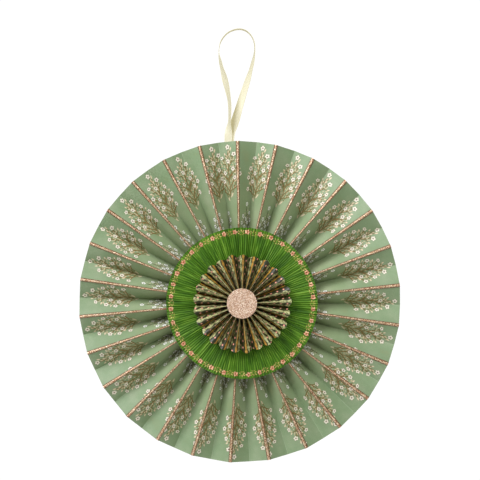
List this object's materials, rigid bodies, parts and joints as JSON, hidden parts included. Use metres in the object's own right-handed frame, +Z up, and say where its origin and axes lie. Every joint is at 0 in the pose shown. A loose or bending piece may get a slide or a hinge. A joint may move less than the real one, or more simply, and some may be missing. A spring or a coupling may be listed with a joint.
{
  "type": "paper fan medallion",
  "caption": "Hanging round medallion of layered pleated paper rosettes, with glitter edging, a crimped green disc and a ribbon loop.",
  "frame": {"origin": "centre of the back disc's rear face, on the plane that lies against the wall", "axes": "+Z up, towards the ribbon loop; +Y out of the back; the face looks along -Y; +X to the right seen from the front"},
  "size_m": [0.3, 0.034, 0.4043],
  "materials": {
    "printed_paper": "matt printed paper, sage green with small blossom sprigs",
    "crimped_paper": "finely crimped paper, leaf green with a floral border",
    "patterned_paper": "matt printed paper, dark olive with mustard, grey and pink",
    "glitter_card": "card covered with fine pale copper glitter",
    "glitter_edging": "raised line of copper glitter in clear glue",
    "plain_card": "plain uncoated card",
    "satin": "cream satin ribbon"
  },
  "bodies": {
    "root": {"large_rosette": "printed_paper", "green_disc": "crimped_paper", "small_rosette": "patterned_paper", "glitter_disc": "glitter_card", "back_disc": "plain_card", "ribbon_loop": "satin", "ridge_edging_01": "glitter_edging", "ridge_edging_02": "glitter_edging", "ridge_edging_03": "glitter_edging", "ridge_edging_04": "glitter_edging", "ridge_edging_05": "glitter_edging", "ridge_edging_06": "glitter_edging", "ridge_edging_07": "glitter_edging", "ridge_edging_08": "glitter_edging", "ridge_edging_09": "glitter_edging", "ridge_edging_10": "glitter_edging", "ridge_edging_11": "glitter_edging", "ridge_edging_12": "glitter_edging", "ridge_edging_13": "glitter_edging", "ridge_edging_14": "glitter_edging", "ridge_edging_15": "glitter_edging", "ridge_edging_16": "glitter_edging", "ridge_edging_17": "glitter_edging", "ridge_edging_18": "glitter_edging", "ridge_edging_19": "glitter_edging", "ridge_edging_20": "glitter_edging", "ridge_edging_21": "glitter_edging", "ridge_edging_22": "glitter_edging", "ridge_edging_23": "glitter_edging", "ridge_edging_24": "glitter_edging", "ridge_edging_25": "glitter_edging", "ridge_edging_26": "glitter_edging"}
  },
  "joints": []
}
